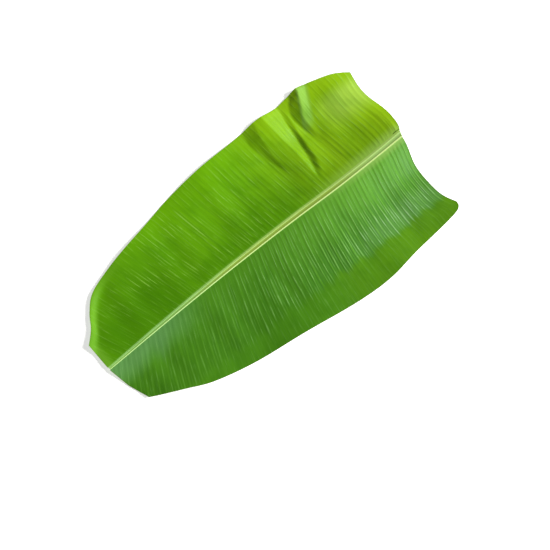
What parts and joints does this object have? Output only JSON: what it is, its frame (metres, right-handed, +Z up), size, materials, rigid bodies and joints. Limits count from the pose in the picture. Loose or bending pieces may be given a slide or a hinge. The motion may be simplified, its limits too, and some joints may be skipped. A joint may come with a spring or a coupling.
{
  "type": "banana leaf",
  "caption": "Cut tip end of a fresh banana leaf lying upper side up, with a grooved midrib, fine side veins, wavy margins, folds near one corner and straight cuts at both ends",
  "frame": {"origin": "on the ground plane, below the middle of the leaf's bounding box", "axes": "+X along the midrib from the tip cut to the base cut, +Y across the leaf toward its folded half, +Z up out of the upper side"},
  "size_m": [0.58, 0.3268, 0.033],
  "materials": {
    "leaf": "satin"
  },
  "bodies": {
    "root": {"banana_leaf": "leaf"}
  },
  "joints": []
}
